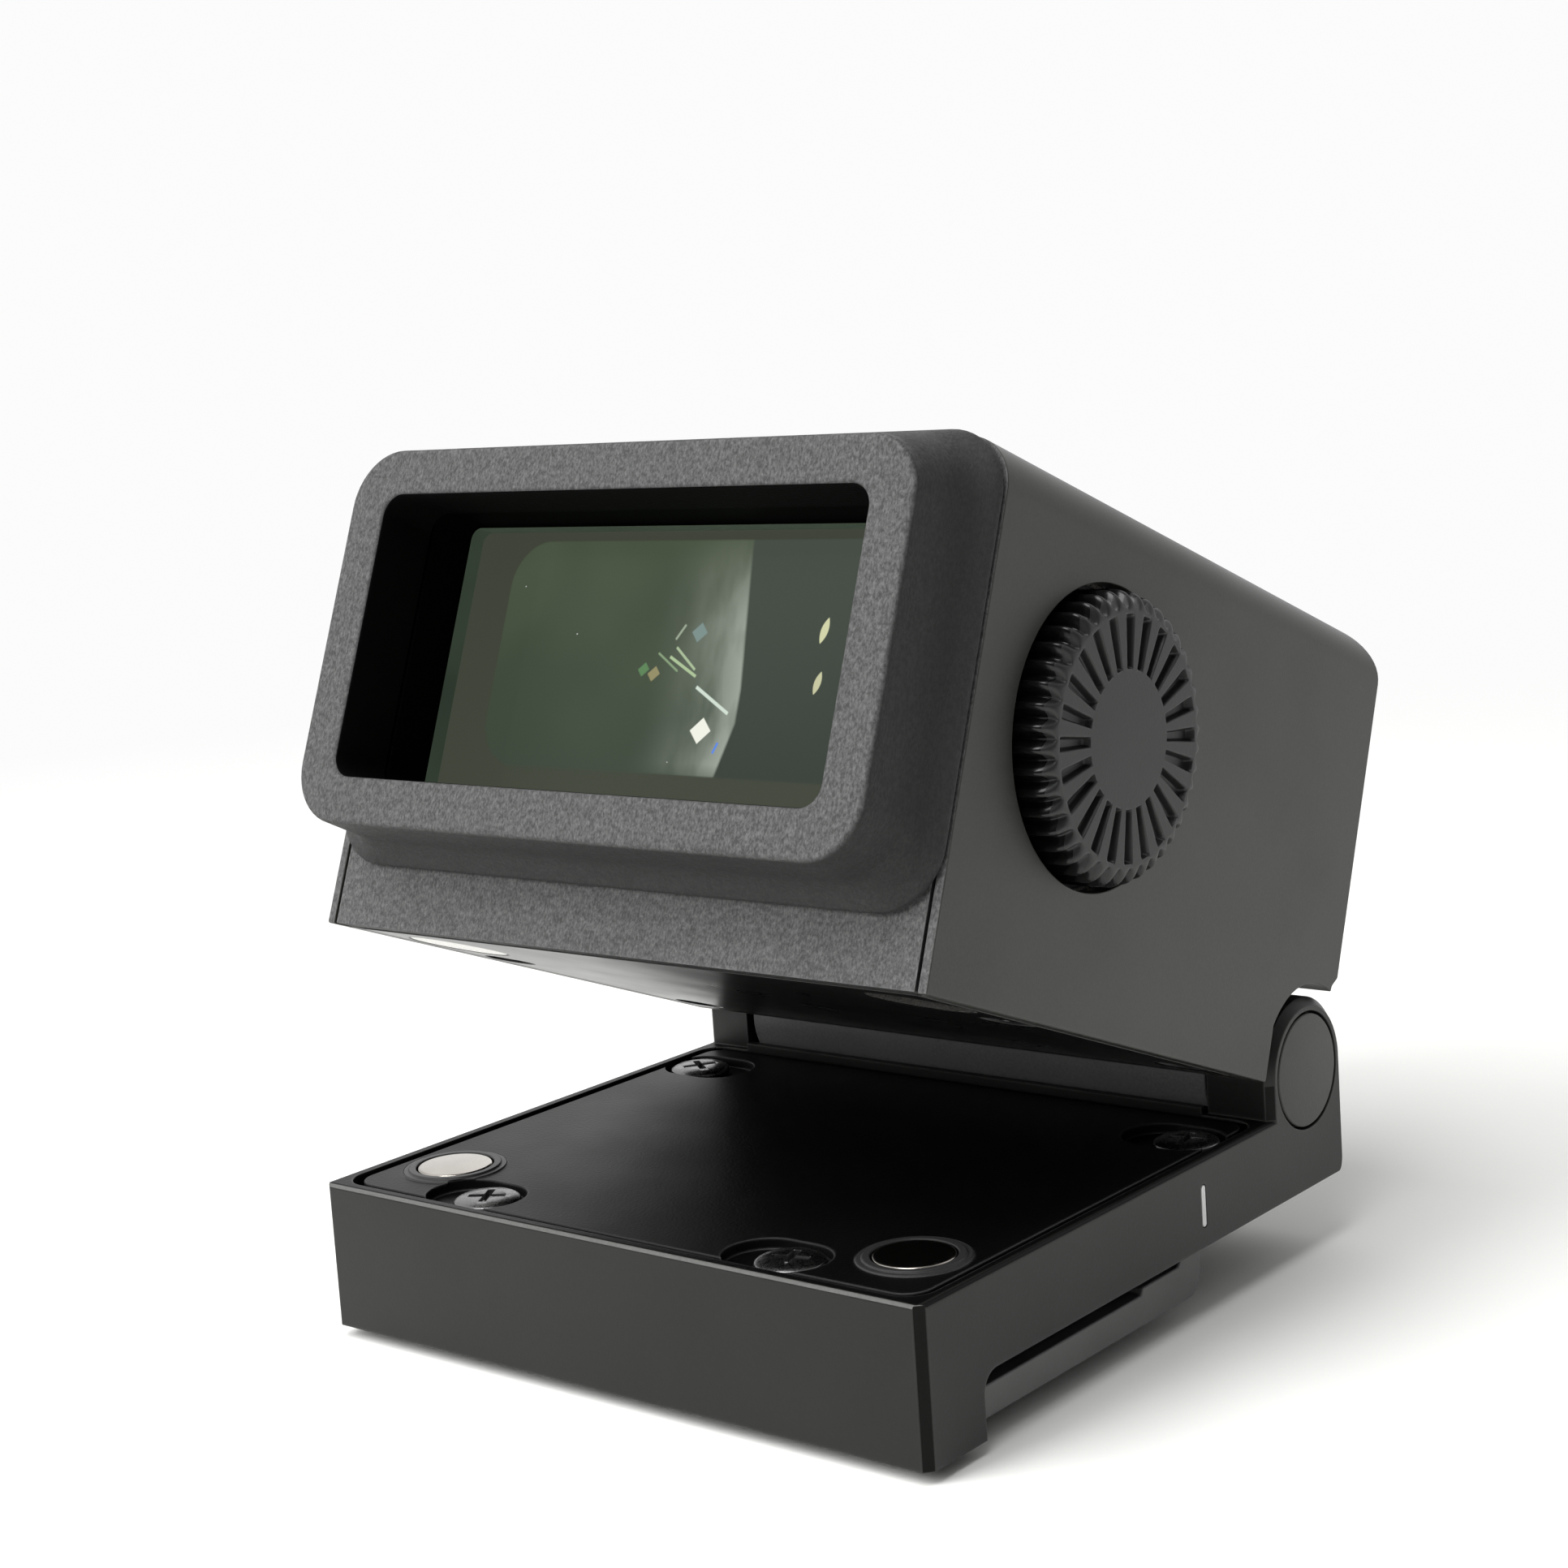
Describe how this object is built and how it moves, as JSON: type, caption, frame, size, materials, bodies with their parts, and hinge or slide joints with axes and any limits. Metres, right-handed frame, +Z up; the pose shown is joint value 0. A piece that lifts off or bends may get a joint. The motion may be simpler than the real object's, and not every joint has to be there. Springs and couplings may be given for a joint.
{
  "type": "tilting electronic viewfinder",
  "caption": "Clip-on electronic viewfinder: square base with shoe foot, and a viewfinder head that tilts up on a rear hinge, with eyecup, window and side dioptre dial.",
  "frame": {"origin": "centre of the accessory-shoe foot's sole, on its underside", "axes": "+Z up out of the shoe, +Y towards the hinge and the camera's front, -Y towards the eye, +X the side with the dioptre dial"},
  "size_m": [0.0395, 0.0449, 0.0452],
  "materials": {
    "shell": "fine matt powder coat",
    "grain": "coarse speckled matt coat",
    "black": "fine spark texture",
    "gloss_black": "semi-gloss black",
    "dial": "satin moulded, knurled rim",
    "steel": "machined",
    "dark_steel": "dark nickel",
    "nickel": "bright nickel plate",
    "reflector": "white light guide",
    "gold": "gold flash",
    "board": "solder mask",
    "flex": "polyimide film",
    "glass": "coated, greenish reflections",
    "screen": "dark display cover",
    "mark": "off-white paint fill",
    "guard": "smoked moulding"
  },
  "bodies": {
    "base": {"base_tray": "shell", "base_cover_plate": "black", "magnet_left": "nickel", "magnet_right": "nickel", "hinge_pin_left": "steel", "hinge_pin_right": "steel", "hinge_cap_left": "shell", "hinge_cap_right": "shell", "friction_washer_left": "steel", "friction_washer_right": "steel", "index_mark": "mark", "base_board": "board", "shoe_foot": "steel", "connector_block": "black", "base_flex_cable": "flex", "cover_screw_front_left": "dark_steel", "cover_screw_front_right": "dark_steel", "cover_screw_rear_left": "dark_steel", "cover_screw_rear_right": "dark_steel", "foot_screw_front_left": "dark_steel", "foot_screw_front_right": "dark_steel", "foot_screw_rear_left": "dark_steel", "foot_screw_rear_right": "dark_steel", "contact_pin_1": "gold", "contact_pin_2": "gold", "contact_pin_3": "gold", "contact_pin_4": "gold", "contact_pin_5": "gold"},
    "foot_guard": {"foot_guard": "guard"},
    "head": {"head_housing": "shell", "front_panel": "grain", "bottom_plate": "gloss_black", "eyecup_frame": "grain", "window_bezel": "gloss_black", "eyepiece_window": "glass", "eye_sensor": "gloss_black", "optics_barrel": "black", "display_holder": "black", "display_panel": "screen", "display_backlight": "reflector", "main_board": "board", "head_flex_cable": "flex", "hinge_barrel": "shell", "dial_post": "steel", "dial_spring_washer": "steel", "strike_disc_left": "steel", "strike_disc_right": "steel", "head_screw_front_left": "dark_steel", "head_screw_front_right": "dark_steel", "head_screw_rear_left": "dark_steel", "head_screw_rear_right": "dark_steel"},
    "lens_carrier": {"lens_cell": "black", "eye_lens": "glass", "field_lens": "glass", "lens_retainer": "black"},
    "dial": {"dioptre_dial": "dial"}
  },
  "joints": [
    {"name": "head_tilt", "type": "hinge", "parent": "base", "child": "head", "pos_m": [0, 0.0205, 0.00988], "axis": [-1, 0, 0], "range_deg": [-21.4, 68.6]},
    {"name": "dioptre_turn", "type": "hinge", "parent": "head", "child": "dial", "pos_m": [0.019, 0.00265, 0.03011], "axis": [1, 0, 0], "range_deg": [-150, 150]},
    {"name": "lens_focus", "type": "slide", "parent": "head", "child": "lens_carrier", "axis": [0, 0.9311, -0.3649], "range_m": [-0.0015, 0.0015]},
    {"name": "guard_slide", "type": "slide", "parent": "base", "child": "foot_guard", "axis": [0, 1, 0], "range_m": [0, 0.018]}
  ],
  "couplings": [
    {"joint": "dioptre_turn", "follows": "lens_focus", "rad_per_m": 1745.2}
  ]
}
